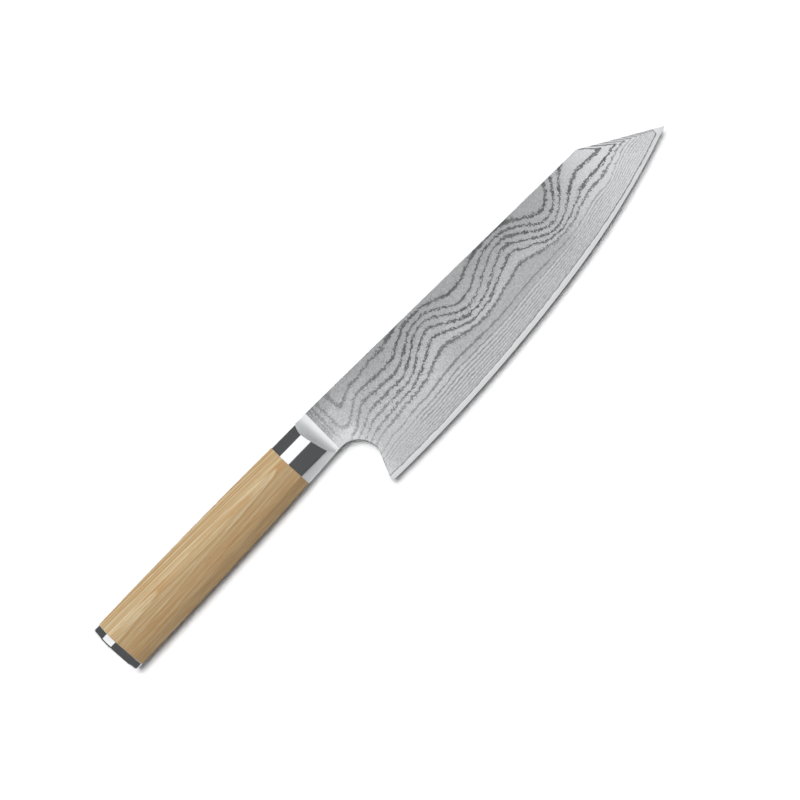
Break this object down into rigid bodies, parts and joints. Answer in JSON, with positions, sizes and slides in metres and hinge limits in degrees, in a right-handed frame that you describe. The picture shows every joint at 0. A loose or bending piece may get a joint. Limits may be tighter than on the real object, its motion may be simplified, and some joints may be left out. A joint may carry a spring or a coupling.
{
  "type": "kiritsuke knife",
  "caption": "Kitchen knife with a tall layered-steel blade, angled tip, finger notch behind the heel, scooped steel bolster and D-shaped pale wood handle with a steel end cap.",
  "frame": {"origin": "centre of the knife's length and height, on the plane that its flat left side lies on", "axes": "+X along the spine to the tip, +Y to the spine, +Z out of the right-hand face"},
  "size_m": [0.3501, 0.0502, 0.0179],
  "materials": {
    "core_steel": "fine satin, brighter than the cladding",
    "layered_steel": "bead-blasted satin with ragged darker layer lines",
    "bolster_steel": "mirror collar, satin ramp and underside",
    "blond_wood": "semi-gloss, straight grain",
    "cap_steel": "polished",
    "tang_steel": "plain",
    "epoxy": "cured epoxy",
    "fastener_steel": "plain"
  },
  "bodies": {
    "root": {"blade_core": "core_steel", "cladding_right": "layered_steel", "cladding_left": "layered_steel", "bolster": "bolster_steel", "handle": "blond_wood", "end_cap": "cap_steel", "tang_bar": "tang_steel", "tang_adhesive": "epoxy", "tang_washer": "fastener_steel", "tang_nut": "fastener_steel"}
  },
  "joints": []
}
